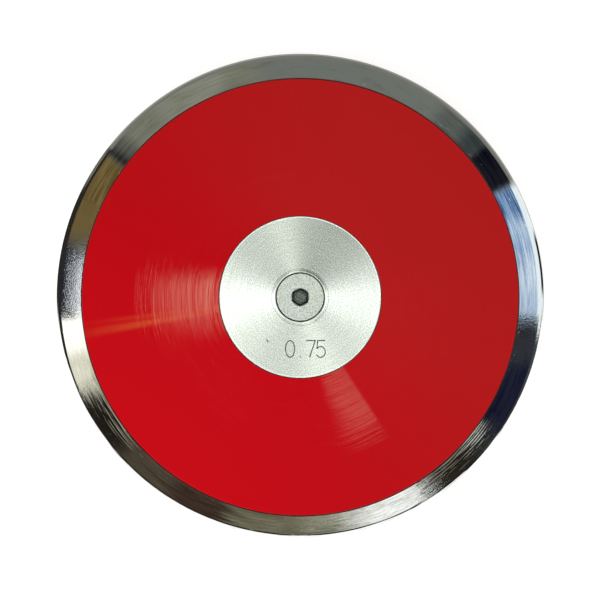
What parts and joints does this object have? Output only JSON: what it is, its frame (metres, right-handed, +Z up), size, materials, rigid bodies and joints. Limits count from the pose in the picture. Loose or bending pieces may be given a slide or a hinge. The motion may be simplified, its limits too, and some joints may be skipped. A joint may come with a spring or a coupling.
{
  "type": "discus",
  "caption": "Throwing discus: turned steel rim round tapered red plastic side plates, with flush aluminium hub plates held by socket screws.",
  "frame": {"origin": "centre of the lower hub plate's outer face, which the discus rests on when it lies flat", "axes": "+Z up along the axis of the disc, from the lower hub plate to the upper one; X and Y lie in the plane of the rim"},
  "size_m": [0.167, 0.167, 0.034],
  "materials": {
    "rim_steel": "turned steel, polished bright, with fine marks round the axis",
    "red_plastic": "smooth glossy red with faint concentric scratches",
    "hub_aluminium": "faced on a lathe, with fine rings",
    "screw_steel": "dull zinc plating",
    "weight_steel": "plain mill finish, oiled",
    "tape_rubber": "matt black"
  },
  "bodies": {
    "root": {"rim": "rim_steel", "centre_weight": "weight_steel", "upper_side_plate": "red_plastic", "upper_hub_plate": "hub_aluminium", "upper_hub_screw": "screw_steel", "upper_trim_shim": "weight_steel", "upper_seat_tape": "tape_rubber", "lower_side_plate": "red_plastic", "lower_hub_plate": "hub_aluminium", "lower_hub_screw": "screw_steel", "lower_trim_shim": "weight_steel", "lower_seat_tape": "tape_rubber"}
  },
  "joints": []
}
